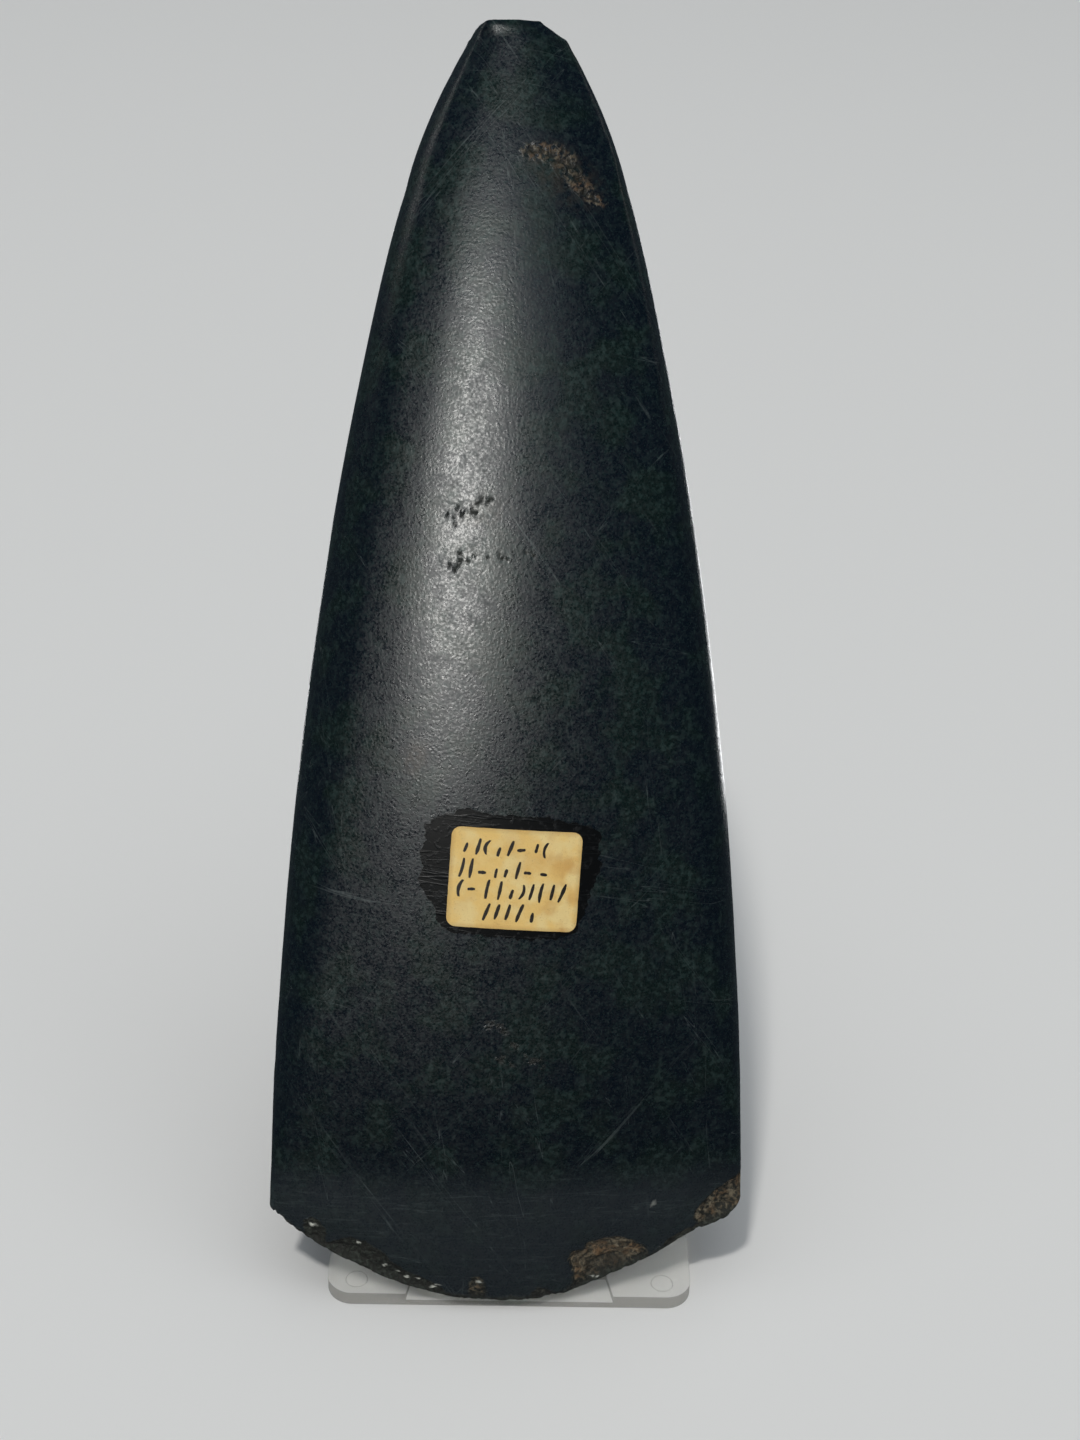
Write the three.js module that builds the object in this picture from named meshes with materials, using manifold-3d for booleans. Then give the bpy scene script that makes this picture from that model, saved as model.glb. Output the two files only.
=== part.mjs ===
import * as THREE from "three";
import { mergeVertices } from "three/addons/utils/BufferGeometryUtils.js";
import Module from "manifold-3d";

// A polished stone axe head, butt up and leaning back on a clear moulded stand,
// with an old paper label glued to its front face.
// Millimetres. +Z is up, +X is to the right of the front view, -Y is the front.
// The origin is the middle of the underside of the stand's foot.

// Stone
const axeLength = 240.4;
const axeWidth = 91.7;
const axeThickness = 36;
const axeLean = 23.6; // degrees back from upright
const axeTurn = 1.9; // degrees, to the right of square on the stand
const axeAcross = -0.8; // the stone stands a little left of the stand's middle
const edgeSweep = 64.5; // radius of the curved cutting edge
const edgeThickness = 1.6; // the edge is blunt from use
const buttFlat = 10.6;
const buttShoulder = 18;
const buttDrop = 3; // from the top of the butt down to its shoulders

// Label
const labelWidth = 23.8;
const labelHeight = 18.7;
const labelThickness = 0.25;
const labelCorner = 2;
const labelAcross = 0.1; // from the stone's middle line
const labelUp = 87.2; // from the cutting edge, along the stone
const labelTilt = 3.2; // degrees clockwise

// Stand
const footWidth = 71.4;
const footDepth = 90;
const sheet = 3; // thickness of foot and back rest
const footCorner = 5;
const seatWidth = 38; // shallow seat for the cutting edge, open to the front
const seatDrop = 1.6;
const seatRun = 6;
const seatFlare = 1.5; // how far the seat's ends slope outwards
const edgeOverhang = 0.1; // the cutting edge stands this far past the foot's front
const restWidth = 38;
const restRise = 92; // top of the back rest above the table
const restTouch = 95; // where it touches the stone, measured up from the edge
const restCorner = 6;
const footFillet = 3;

const clearance = 0.3; // between pieces that touch

// How the stone changes along its length. Each row is a share of its length, then
// shares of its greatest half width and half thickness, how far the broad faces fall
// away towards the sides, and how wide the side facets are.
const stations = [
  [0.0, 1.0, edgeThickness / axeThickness, 0.2, 0.02],
  [0.021, 1.0, 0.17, 0.25, 0.02],
  [0.085, 0.998, 0.42, 0.3, 0.03],
  [0.166, 0.988, 0.68, 0.33, 0.06],
  [0.29, 0.95, 0.89, 0.35, 0.13],
  [0.457, 0.867, 1.0, 0.36, 0.17],
  [0.624, 0.739, 0.97, 0.36, 0.18],
  [0.749, 0.613, 0.89, 0.36, 0.17],
  [0.853, 0.485, 0.77, 0.36, 0.15],
  [0.923, 0.366, 0.64, 0.35, 0.13],
  [0.969, 0.25, 0.53, 0.33, 0.12],
  [0.9875, 0.196, 0.49, 0.3, 0.12],
  [1.0, 0.196, 0.46, 0.3, 0.12],
];

// How much is broken off the curved edge, from the left corner to the right one:
// share of the half width, then millimetres.
const edgeBreaks = [
  [-1.0, 0.0],
  [-0.87, 0.2],
  [-0.62, 0.6],
  [-0.48, 0.3],
  [-0.21, 0.0],
  [0.2, 0.0],
  [0.39, 1.4],
  [0.55, 2.0],
  [0.79, 2.6],
  [0.9, 0.6],
  [0.96, -0.6],
  [1.0, 0.8],
];

// Flake scars on the front face beside the edge: middle and reach in millimetres
// from the middle of the edge, and the share of the half thickness that is gone.
const flakeScars = [
  { across: 42, up: 20, wide: 7, tall: 7, gone: 0.5 },
  { across: 19, up: 9, wide: 8.5, tall: 6, gone: 0.45 },
  { across: -19, up: 5, wide: 9, tall: 3.5, gone: 0.35 },
  { across: -32, up: 11.5, wide: 8, tall: 4.5, gone: 0.35 },
];

const facetBias = 0.4; // the left side facet is wider than the right one

// Facets in each direction of the stone
const facetsAcross = 30;
const facetsThrough = 4;
const facetsAlong = 46;

const halfWidth = axeWidth / 2;
const halfThickness = axeThickness / 2;
const lean = THREE.MathUtils.degToRad(axeLean);
const turn = THREE.MathUtils.degToRad(axeTurn);

// Curves through rows of numbers: the first column is the place, the rest are read there
function curveThrough(rows, Interpolant) {
  const size = rows[0].length - 1;
  const places = rows.map((row) => row[0]);
  const values = rows.flatMap((row) => row.slice(1));
  const curve = new Interpolant(places, values, size, new Array(size));
  return (place) => [...curve.evaluate(place)];
}

const formAt = curveThrough(stations, THREE.CubicInterpolant);
const breakAt = curveThrough(edgeBreaks, THREE.LinearInterpolant);

// Height of the cutting edge and of the butt at a place across the stone, from -1 to 1
function edgeLine(across) {
  const place = across * halfWidth;
  const sweep = edgeSweep - Math.sqrt(edgeSweep ** 2 - place ** 2);
  return sweep + breakAt(across)[0];
}

function buttLine(across) {
  const past = Math.abs(across) * (buttShoulder / 2) - buttFlat / 2;
  const slope = buttDrop / ((buttShoulder - buttFlat) / 2);
  return axeLength - Math.max(0, past) * slope;
}

function scarAt(across, up) {
  let left = 1;
  for (const scar of flakeScars) {
    const away = ((across - scar.across) / scar.wide) ** 2 + ((up - scar.up) / scar.tall) ** 2;
    left *= 1 - scar.gone * Math.max(0, 1 - away);
  }
  return left;
}

// Share of the half width that the side facet takes up
function facetShare(facet, across) {
  return facet * (1 - facetBias * across);
}

// A point of the stone from three shares: across and through from -1 to 1, along from 0 to 1
function stonePoint(across, through, along) {
  const low = edgeLine(across);
  const up = low + (buttLine(across) - low) * along;
  const [width, , , facet] = formAt(up / axeLength);
  const [, thickness, crown] = formAt(along);
  const x = halfWidth * width * across * (1 - facetShare(facet, across) * through ** 2);
  const depth = halfThickness * thickness * (1 - crown * across ** 2);
  const scarred = through < 0 ? scarAt(x, up) : 1;
  return new THREE.Vector3(x, depth * through * scarred, up);
}

// Depth of the broad faces from the middle plane, at a place in millimetres
function faceDepth(x, up) {
  const [width, , , facet] = formAt(up / axeLength);
  const place = x / (halfWidth * width);
  let across = place / (1 - facet);
  for (let i = 0; i < 4; i += 1) {
    across = place / (1 - facetShare(facet, across));
  }
  const low = edgeLine(across);
  const along = (up - low) / (buttLine(across) - low);
  const [, thickness, crown] = formAt(along);
  return halfThickness * thickness * (1 - crown * across ** 2);
}

// Moves each vertex of a geometry and merges the ones that meet
function reshape(geometry, place) {
  geometry.deleteAttribute("normal");
  geometry.deleteAttribute("uv");
  const merged = mergeVertices(geometry, 1e-4);
  const points = merged.getAttribute("position");
  for (let i = 0; i < points.count; i += 1) {
    const moved = place(points.getX(i), points.getY(i), points.getZ(i));
    points.setXYZ(i, moved.x, moved.y, moved.z);
  }
  merged.computeVertexNormals();
  return merged;
}

function stoneGeometry() {
  const blank = new THREE.BoxGeometry(2, 2, 1, facetsAcross, facetsThrough, facetsAlong);
  const sideCrowding = 0.25; // facets are narrower towards the sides
  const endCrowding = 0.75; // and shorter towards the edge and the butt
  return reshape(blank, (x, y, z) => {
    const across = x * (1 + sideCrowding * (1 - x ** 2));
    const step = z + 0.5;
    const along = step - (endCrowding * Math.sin(2 * Math.PI * step)) / (2 * Math.PI);
    return stonePoint(across, y, along);
  });
}

// The label lies on the front face, in the stone's own frame
function labelGeometry() {
  const stepsAcross = Math.round(labelWidth / labelCorner);
  const stepsUp = Math.round(labelHeight / labelCorner);
  const blank = new THREE.BoxGeometry(labelWidth, labelHeight, 1, stepsAcross, stepsUp, 1);
  const tilt = THREE.MathUtils.degToRad(labelTilt);
  const cornerCut = labelCorner * (1 - Math.SQRT1_2);
  return reshape(blank, (x, y, z) => {
    const atCorner = Math.abs(x) > labelWidth / 2 - 0.01 && Math.abs(y) > labelHeight / 2 - 0.01;
    const cut = atCorner ? cornerCut : 0;
    const right = x - Math.sign(x) * cut;
    const high = y - Math.sign(y) * cut;
    const across = labelAcross + right * Math.cos(tilt) + high * Math.sin(tilt);
    const up = labelUp - right * Math.sin(tilt) + high * Math.cos(tilt);
    const lift = clearance + (z + 0.5) * labelThickness;
    return new THREE.Vector3(across, -faceDepth(across, up) - lift, up);
  });
}

// Closed meshes to solids and back
const wasm = await Module();
wasm.setup();

function solid(geometry, matrix = new THREE.Matrix4()) {
  const placed = geometry.clone().applyMatrix4(matrix);
  placed.deleteAttribute("normal");
  placed.deleteAttribute("uv");
  const merged = mergeVertices(placed, 1e-4);
  const vertProperties = new Float32Array(merged.getAttribute("position").array);
  const triVerts = new Uint32Array(merged.index.array);
  return new wasm.Manifold(new wasm.Mesh({ numProp: 3, vertProperties, triVerts }));
}

function geometryOf(body) {
  const mesh = body.getMesh();
  const geometry = new THREE.BufferGeometry();
  geometry.setAttribute("position", new THREE.BufferAttribute(mesh.vertProperties, 3));
  geometry.setIndex(new THREE.BufferAttribute(mesh.triVerts, 1));
  geometry.computeVertexNormals();
  return geometry;
}

// A rectangle from its lower left corner, with rounded corners at its top or all round
function roundedPlate(width, height, corner, roundBelow) {
  const plate = new THREE.Shape();
  const side = width / 2;
  const low = roundBelow ? corner : 0;
  plate.moveTo(-side, low);
  plate.lineTo(-side, height - corner);
  plate.absarc(-side + corner, height - corner, corner, Math.PI, Math.PI / 2, true);
  plate.absarc(side - corner, height - corner, corner, Math.PI / 2, 0, true);
  if (roundBelow) {
    plate.absarc(side - corner, corner, corner, 0, -Math.PI / 2, true);
    plate.absarc(-side + corner, corner, corner, -Math.PI / 2, -Math.PI, true);
  } else {
    plate.lineTo(side, 0);
    plate.lineTo(-side, 0);
  }
  return plate;
}

function extruded(shape, depth) {
  return new THREE.ExtrudeGeometry(shape, { depth, bevelEnabled: false, curveSegments: 8 });
}

// Extrudes an outline drawn in Y and Z across the stand, centred on X = 0
function acrossStand(outline, width) {
  const turned = new THREE.Matrix4().makeBasis(
    new THREE.Vector3(0, 1, 0),
    new THREE.Vector3(0, 0, 1),
    new THREE.Vector3(1, 0, 0),
  );
  const centred = new THREE.Matrix4().makeTranslation(-width / 2, 0, 0);
  return solid(extruded(outline, width), centred.multiply(turned));
}

// Concave fillet in the corner between two directions, sunk a little into both sides
function filletOutline(corner, along, rise, radius) {
  const half = along.angleTo(rise) / 2;
  const reach = radius / Math.tan(half);
  const middle = along.clone().add(rise).normalize();
  const centre = corner.clone().addScaledVector(middle, radius / Math.sin(half));
  const start = corner.clone().addScaledVector(along, reach).sub(centre).angle();
  let turn = corner.clone().addScaledVector(rise, reach).sub(centre).angle() - start;
  turn -= 2 * Math.PI * Math.round(turn / (2 * Math.PI));
  const steps = 6;
  const points = [corner.clone().addScaledVector(middle, -sheet / 2)];
  for (let i = 0; i <= steps; i += 1) {
    const angle = start + (turn * i) / steps;
    points.push(new THREE.Vector2(Math.cos(angle), Math.sin(angle)).multiplyScalar(radius).add(centre));
  }
  return new THREE.Shape(points);
}

// Where the stone stands: its edge in the seat, its middle plane just past the foot's front
const stoneFront = -footDepth / 2 - edgeOverhang;
const stoneFoot = sheet - seatDrop + clearance + (edgeThickness / 2) * Math.sin(lean);

// A point on the stone's back at its middle line, in the stand's Y and Z
function backPoint(up, lift) {
  const depth = faceDepth(0, up) + lift;
  const y = stoneFront + up * Math.sin(lean) + depth * Math.cos(lean);
  const z = stoneFoot + up * Math.cos(lean) - depth * Math.sin(lean);
  return new THREE.Vector2(y, z);
}

// The back rest lies flat against the stone where it touches it
function standGeometry() {
  const foot = solid(
    extruded(roundedPlate(footWidth, footDepth, footCorner, true), sheet),
    new THREE.Matrix4().makeTranslation(0, -footDepth / 2, 0),
  );

  const seatFloor = new THREE.Shape();
  const margin = 1; // the cutter runs past the foot's front and top
  seatFloor.moveTo(-seatWidth / 2 - seatFlare, -margin);
  seatFloor.lineTo(seatWidth / 2 + seatFlare, -margin);
  seatFloor.lineTo(seatWidth / 2, seatRun);
  seatFloor.lineTo(-seatWidth / 2, seatRun);
  const seat = solid(
    extruded(seatFloor, seatDrop + margin),
    new THREE.Matrix4().makeTranslation(0, -footDepth / 2, sheet - seatDrop),
  );

  const touch = backPoint(restTouch, clearance);
  const above = backPoint(restTouch + 1, clearance);
  const rise = above.clone().sub(touch).normalize();
  const slant = Math.atan2(rise.y, rise.x);
  const heel = touch.clone().addScaledVector(rise, (sheet - touch.y) / rise.y);
  const sunk = sheet / 2; // the rest runs into the foot so that they are one piece
  const start = heel.clone().addScaledVector(rise, -sunk / rise.y);
  const restLength = (restRise - start.y) / rise.y;
  const behind = new THREE.Vector2(rise.y, -rise.x).multiplyScalar(sheet);
  const restPlace = new THREE.Matrix4()
    .makeTranslation(0, start.x + behind.x, start.y + behind.y)
    .multiply(new THREE.Matrix4().makeRotationX(slant));
  const rest = solid(extruded(roundedPlate(restWidth, restLength, restCorner, false), sheet), restPlace);

  const forwards = new THREE.Vector2(-1, 0);
  const backwards = new THREE.Vector2(1, 0);
  const rearHeel = heel.clone().setX(heel.x + sheet / rise.y);
  const frontFillet = acrossStand(filletOutline(heel, forwards, rise, footFillet), restWidth);
  const rearFillet = acrossStand(filletOutline(rearHeel, backwards, rise, footFillet), restWidth);

  const below = new THREE.BoxGeometry(footWidth * 2, footDepth * 2, sheet * 4);
  const table = solid(below, new THREE.Matrix4().makeTranslation(0, 0, -sheet * 2));
  return geometryOf(foot.subtract(seat).add(rest).add(frontFillet).add(rearFillet).subtract(table));
}

function piece(name, geometry, material) {
  const mesh = new THREE.Mesh(geometry, new THREE.MeshStandardMaterial(material));
  mesh.name = name;
  return mesh;
}

const polishedStone = { color: 0x20292d, roughness: 0.42, metalness: 0 };
const agedPaper = { color: 0xe0c283, roughness: 0.85, metalness: 0 };
const clearPlastic = { color: 0xe8ebe6, roughness: 0.06, metalness: 0, transparent: true, opacity: 0.35 };

const leaningStone = new THREE.Group();
leaningStone.rotation.x = -lean;
leaningStone.add(piece("axe_head", stoneGeometry(), polishedStone));
leaningStone.add(piece("paper_label", labelGeometry(), agedPaper));

const turnedStone = new THREE.Group();
turnedStone.position.set(axeAcross, stoneFront, stoneFoot);
turnedStone.rotation.z = turn;
turnedStone.add(leaningStone);

const axeOnStand = new THREE.Group();
axeOnStand.add(piece("display_stand", standGeometry(), clearPlastic));
axeOnStand.add(turnedStone);

export default axeOnStand;
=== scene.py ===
import math
import random

import bmesh
import bpy
import numpy as np
from mathutils import Euler, Matrix, Vector, noise
from mathutils.bvhtree import BVHTree


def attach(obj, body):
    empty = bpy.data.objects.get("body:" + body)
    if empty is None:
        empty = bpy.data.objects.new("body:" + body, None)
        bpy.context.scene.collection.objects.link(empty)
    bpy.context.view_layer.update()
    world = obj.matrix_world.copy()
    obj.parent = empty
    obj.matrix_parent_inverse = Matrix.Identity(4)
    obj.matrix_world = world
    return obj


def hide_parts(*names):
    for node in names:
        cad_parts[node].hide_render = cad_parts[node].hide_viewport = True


# A polished stone axe head leaning on a clear stand, with an old paper label on its face.
# Metres in the scene. Shapes on the stone are worked in its own millimetres:
# x across, y through (the front face is at negative y), z up from the middle of its edge.

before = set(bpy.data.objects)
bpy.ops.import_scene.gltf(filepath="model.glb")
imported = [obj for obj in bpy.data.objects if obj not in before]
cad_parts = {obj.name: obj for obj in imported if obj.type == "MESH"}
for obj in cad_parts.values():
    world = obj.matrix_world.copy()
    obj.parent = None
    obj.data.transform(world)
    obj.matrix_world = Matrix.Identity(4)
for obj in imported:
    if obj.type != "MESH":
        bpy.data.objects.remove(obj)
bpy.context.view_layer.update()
mm = 0.001
print("frame loaded")

stonePlace = {
    "across": -0.8,
    "front": -45.1,
    "up": 2.0203,
    "leanDegrees": 23.6,
    "turnDegrees": 1.9,
}

stoneSpot = Vector((stonePlace["across"], stonePlace["front"], stonePlace["up"])) * mm
stoneTurn = Euler((-math.radians(stonePlace["leanDegrees"]), 0, math.radians(stonePlace["turnDegrees"])))
fromStone = Matrix.Translation(stoneSpot) @ stoneTurn.to_matrix().to_4x4() @ Matrix.Scale(mm, 4)
toStone = fromStone.inverted()


def newObject(name, data):
    made = bpy.data.objects.new(name, data)
    bpy.context.scene.collection.objects.link(made)
    return made


# Camera
cameraLook = {
    "location": (-8.22, -346.78, 318.79),
    "pitchDegrees": 31.38,
    "yawDegrees": 1.86,
    "rollDegrees": 2.22,
    "lens": 54.08,
    "sensor": 36,
    "clip": (0.01, 50),
}


def addCamera():
    pitch = math.radians(cameraLook["pitchDegrees"])
    yaw = math.radians(cameraLook["yawDegrees"])
    forward = Vector((math.sin(yaw) * math.cos(pitch), math.cos(yaw) * math.cos(pitch), -math.sin(pitch)))
    level = Vector((math.cos(yaw), -math.sin(yaw), 0))
    turned = Matrix.Rotation(math.radians(-cameraLook["rollDegrees"]), 3, forward)
    right = turned @ level
    up = right.cross(forward)
    camera = bpy.data.cameras.new("viewCamera")
    camera.sensor_fit = "VERTICAL"
    camera.sensor_height = cameraLook["sensor"]
    camera.sensor_width = cameraLook["sensor"]
    camera.lens = cameraLook["lens"]
    camera.clip_start, camera.clip_end = cameraLook["clip"]
    placed = newObject("viewCamera", camera)
    basis = Matrix((right, up, -forward)).transposed().to_4x4()
    placed.matrix_world = Matrix.Translation(Vector(cameraLook["location"]) * mm) @ basis
    bpy.context.scene.camera = placed


# Small helpers for meshes
def newPiece(name, bm, material, sharpDegrees=None, toWorld=True):
    if toWorld:
        bmesh.ops.transform(bm, matrix=fromStone, verts=bm.verts)
    mesh = bpy.data.meshes.new(name)
    bm.to_mesh(mesh)
    bm.free()
    mesh.polygons.foreach_set("use_smooth", [True] * len(mesh.polygons))
    if sharpDegrees is not None:
        mesh.set_sharp_from_angle(angle=math.radians(sharpDegrees))
    mesh.materials.append(material)
    piece = newObject(name, mesh)
    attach(piece, "root")
    return piece


def pointsOf(bm):
    return np.array([v.co for v in bm.verts], float).reshape(-1, 3)


def setPoints(bm, points):
    for vert, point in zip(bm.verts, points):
        vert.co = point


def noiseAt(points, size, seed):
    away = Vector((17.3 * seed, -9.1 * seed, 5.7 * seed))
    return np.array([noise.noise(Vector(p) / size + away) for p in points])


def smoothStep(value, low, high):
    share = np.clip((value - low) / (high - low), 0, 1)
    return share * share * (3 - 2 * share)


def insideDistance(x, z, outline):
    # Distance to a closed outline, positive inside it
    corners = np.array(outline, float)
    ends = np.roll(corners, -1, 0)
    nearest = np.full(len(x), 1e9)
    inside = np.zeros(len(x), bool)
    for (ax, az), (bx, bz) in zip(corners, ends):
        dx, dz = bx - ax, bz - az
        share = np.clip(((x - ax) * dx + (z - az) * dz) / (dx * dx + dz * dz), 0, 1)
        nearest = np.minimum(nearest, np.hypot(x - ax - share * dx, z - az - share * dz))
        if az != bz:
            crosses = (az > z) != (bz > z)
            inside ^= crosses & (x < dx * (z - az) / (bz - az) + ax)
    return np.where(inside, nearest, -nearest)


def spotShare(x, z, spot):
    # 1 in the middle of an oval spot and 0 at its rim
    turn = math.radians(spot.get("turn", 0))
    dx, dz = x - spot["at"][0], z - spot["at"][1]
    along = (dx * math.cos(turn) + dz * math.sin(turn)) / spot["reach"][0]
    over = (dz * math.cos(turn) - dx * math.sin(turn)) / spot["reach"][1]
    return np.clip(1 - along ** 2 - over ** 2, 0, 1)


# Small helpers for materials
def fill(tree, node, inputs):
    # Links the sockets among the values, and sets the others
    for key, value in inputs.items():
        if isinstance(value, bpy.types.NodeSocket):
            tree.links.new(value, node.inputs[key])
        else:
            node.inputs[key].default_value = value


def addNode(tree, kind, inputs=None, **settings):
    node = tree.nodes.new(kind)
    for key, value in settings.items():
        setattr(node, key, value)
    fill(tree, node, inputs or {})
    return node


def mixColour(tree, share, first, second):
    ends = [value if isinstance(value, bpy.types.NodeSocket) else (*value, 1) for value in (first, second)]
    node = addNode(tree, "ShaderNodeMix", {0: share, 6: ends[0], 7: ends[1]}, data_type="RGBA")
    return node.outputs[2]


def maths(tree, operation, *values):
    return addNode(tree, "ShaderNodeMath", dict(enumerate(values)), operation=operation).outputs[0]


def times(tree, first, second):
    return maths(tree, "MULTIPLY", first, second)


def plus(tree, first, second):
    return maths(tree, "ADD", first, second)


def between(tree, value, low, high):
    # From 0 where a value is at one level to 1 where it is at another
    node = addNode(tree, "ShaderNodeMapRange", {"Value": value, "From Min": low, "From Max": high})
    return node.outputs[0]


def ranged(tree, value, low, high):
    # From one level where a mask is 0 to another where it is 1
    return addNode(tree, "ShaderNodeMapRange", {"Value": value, "To Min": low, "To Max": high}).outputs[0]


def newGroup(name, inputs, outputs):
    group = bpy.data.node_groups.new(name, "ShaderNodeTree")
    for socketName, kind, value in inputs:
        made = group.interface.new_socket(name=socketName, in_out="INPUT", socket_type=kind)
        if value is not None:
            made.default_value = value
    for socketName, kind in outputs:
        group.interface.new_socket(name=socketName, in_out="OUTPUT", socket_type=kind)
    given = group.nodes.new("NodeGroupInput").outputs
    return group, given, group.nodes.new("NodeGroupOutput").inputs


def makeMottle():
    # Cloudy patches: 0 to 1 between two levels of a noise
    group, given, result = newGroup(
        "mottle",
        [
            ("Vector", "NodeSocketVector", None),
            ("Scale", "NodeSocketFloat", 100.0),
            ("Detail", "NodeSocketFloat", 4.0),
            ("From", "NodeSocketFloat", 0.4),
            ("To", "NodeSocketFloat", 0.6),
        ],
        [("Mask", "NodeSocketFloat")],
    )
    wanted = {name: given[name] for name in ("Vector", "Scale", "Detail")}
    cloud = addNode(group, "ShaderNodeTexNoise", wanted)
    levels = {"Value": cloud.outputs[0], "From Min": given["From"], "From Max": given["To"]}
    spread = addNode(group, "ShaderNodeMapRange", levels, interpolation_type="SMOOTHSTEP")
    group.links.new(spread.outputs[0], result["Mask"])
    return group


hairlineShape = {
    "through": 0.12, # low, so that lines stay straight on a curved face
    "breakScale": 0.37,
    "breakFade": 0.08,
}


def makeHairlines():
    # Long thin lines in one direction, broken up into stretches
    group, given, result = newGroup(
        "hairlines",
        [
            ("Vector", "NodeSocketVector", None),
            ("Angle", "NodeSocketFloat", 0.0),
            ("Spacing", "NodeSocketFloat", 300.0),
            ("Length", "NodeSocketFloat", 20.0),
            ("Width", "NodeSocketFloat", 0.02),
            ("Sparse", "NodeSocketFloat", 0.55),
        ],
        [("Mask", "NodeSocketFloat")],
    )
    turn = {"Vector": given["Vector"], "Angle": given["Angle"]}
    turned = addNode(group, "ShaderNodeVectorRotate", turn, rotation_type="Y_AXIS").outputs[0]
    through = times(group, given["Spacing"], hairlineShape["through"])
    sides = {"X": given["Spacing"], "Y": through, "Z": given["Length"]}
    both = {0: turned, 1: addNode(group, "ShaderNodeCombineXYZ", sides).outputs[0]}
    pulled = addNode(group, "ShaderNodeVectorMath", both, operation="MULTIPLY").outputs[0]
    field = addNode(group, "ShaderNodeTexNoise", {"Vector": pulled, "Scale": 1.0, "Detail": 1.0})
    away = maths(group, "ABSOLUTE", maths(group, "SUBTRACT", field.outputs[0], 0.5))
    levels = {"Value": away, "From Min": 0.0, "From Max": given["Width"], "To Min": 1.0, "To Max": 0.0}
    line = addNode(group, "ShaderNodeMapRange", levels, interpolation_type="SMOOTHSTEP").outputs[0]
    patches = {"Vector": pulled, "Scale": hairlineShape["breakScale"], "Detail": 3.0}
    breaks = addNode(group, "ShaderNodeTexNoise", patches).outputs[0]
    sparser = plus(group, given["Sparse"], hairlineShape["breakFade"])
    kept = between(group, breaks, given["Sparse"], sparser)
    group.links.new(times(group, line, kept), result["Mask"])
    return group


mottleGroup = makeMottle()
hairlineGroup = makeHairlines()


def mottled(tree, vector, scale, detail, low, high):
    inputs = {"Vector": vector, "Scale": scale, "Detail": detail, "From": low, "To": high}
    return addNode(tree, "ShaderNodeGroup", inputs, node_tree=mottleGroup).outputs[0]


def hairlines(tree, vector, angle, spacing, length, width, sparse):
    inputs = {
        "Vector": vector,
        "Angle": math.radians(angle),
        "Spacing": spacing,
        "Length": length,
        "Width": width,
        "Sparse": sparse,
    }
    return addNode(tree, "ShaderNodeGroup", inputs, node_tree=hairlineGroup).outputs[0]


def newMaterial(name):
    material = bpy.data.materials.new(name)
    material.use_nodes = True
    tree = material.node_tree
    shader = tree.nodes["Principled BSDF"]
    return material, tree, shader


def stoneCoordinates(tree):
    # Object coordinates turned into the stone's own frame, in metres
    where = addNode(tree, "ShaderNodeTexCoord")
    placed = addNode(tree, "ShaderNodeMapping", {"Vector": where.outputs["Object"]}, vector_type="TEXTURE")
    placed.inputs["Location"].default_value = stoneSpot
    placed.inputs["Rotation"].default_value = stoneTurn
    return placed.outputs[0]


def finishShader(tree, shader, look, colour, rough, height):
    # Colour, roughness, gloss and fine relief of a surface
    bump = addNode(tree, "ShaderNodeBump", {"Height": height, "Distance": look["relief"], "Strength": 1.0})
    fill(tree, shader, {"Base Color": colour, "Roughness": rough, "Normal": bump.outputs[0]})
    shader.inputs["Specular IOR Level"].default_value = look["specular"]


# Stone
stoneLook = {
    "blueBlack": (0.0016, 0.0052, 0.0105),
    "darkGreen": (0.0034, 0.0105, 0.0098),
    "greyFleck": (0.024, 0.047, 0.044),
    "scratch": (0.10, 0.125, 0.125),
    "groundEdge": (0.028, 0.035, 0.040),
    "fracture": (0.030, 0.038, 0.030),
    # the dark fracture colour is also the painted shade in the hollows, along the ledge and in the pits
    "fractureDarkAndShade": (0.010, 0.011, 0.008),
    "brownCrust": (0.085, 0.060, 0.034),
    "paleCrust": (0.27, 0.22, 0.145),
    "orange": (0.24, 0.115, 0.040),
    "crystal": (0.66, 0.67, 0.60),
    "stain": (0.045, 0.033, 0.022),
    "roughness": 0.25,
    "specular": 0.28,
    "groundBand": (0.031, 0.023), # metres above the edge, where the ground band fades in
    "relief": 0.00010,

    # How strongly each layer covers what is below it
    "shares": {"specks": 0.45, "ground": 0.6, "scratches": 0.4, "rubbed": 0.2, "orange": 0.5, "paintedShade": 0.85},

    # How much each one adds to the roughness, which is a range for the sparkle
    "rougher": {"sparkle": (-0.05, 0.13), "fibres": 0.05, "haze": 0.07, "scratches": 0.05, "dull": 0.4},

    # How much each one counts in the fine relief
    "raised": {"grain": 0.17, "scratches": 0.03, "rubble": 2.0},

    # Scale, detail and the two noise levels of each pattern
    "patterns": {
        "clouds": (120, 6, 0.44, 0.62),
        "fibres": (900, 5, 0.46, 0.68),
        "specks": (2600, 3, 0.54, 0.70),
        "stainEdge": (700, 5, 0.35, 0.62),
        "rubble": (1300, 6, 0.40, 0.66),
        "crustCover": (1300, 5, 0.40, 0.60),
        "crustPale": (680, 7, 0.38, 0.66),
        "crustOrange": (330, 4, 0.48, 0.66),
        "sparkle": (2200, 4, 0.34, 0.66),
        "haze": (330, 7, 0.36, 0.66),
        "grain": (1900, 3, 0.25, 0.75),
    },

    # Angle, spacing, length, width and sparseness of each set of scratches
    "scratches": [
        (35, 900, 26, 0.010, 0.56),
        (-40, 760, 22, 0.010, 0.58),
        (8, 820, 24, 0.009, 0.58),
        (80, 640, 24, 0.009, 0.60),
    ],
    "grinding": (91, 1500, 60, 0.03, 0.46), # level lines in the ground band
}

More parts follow.
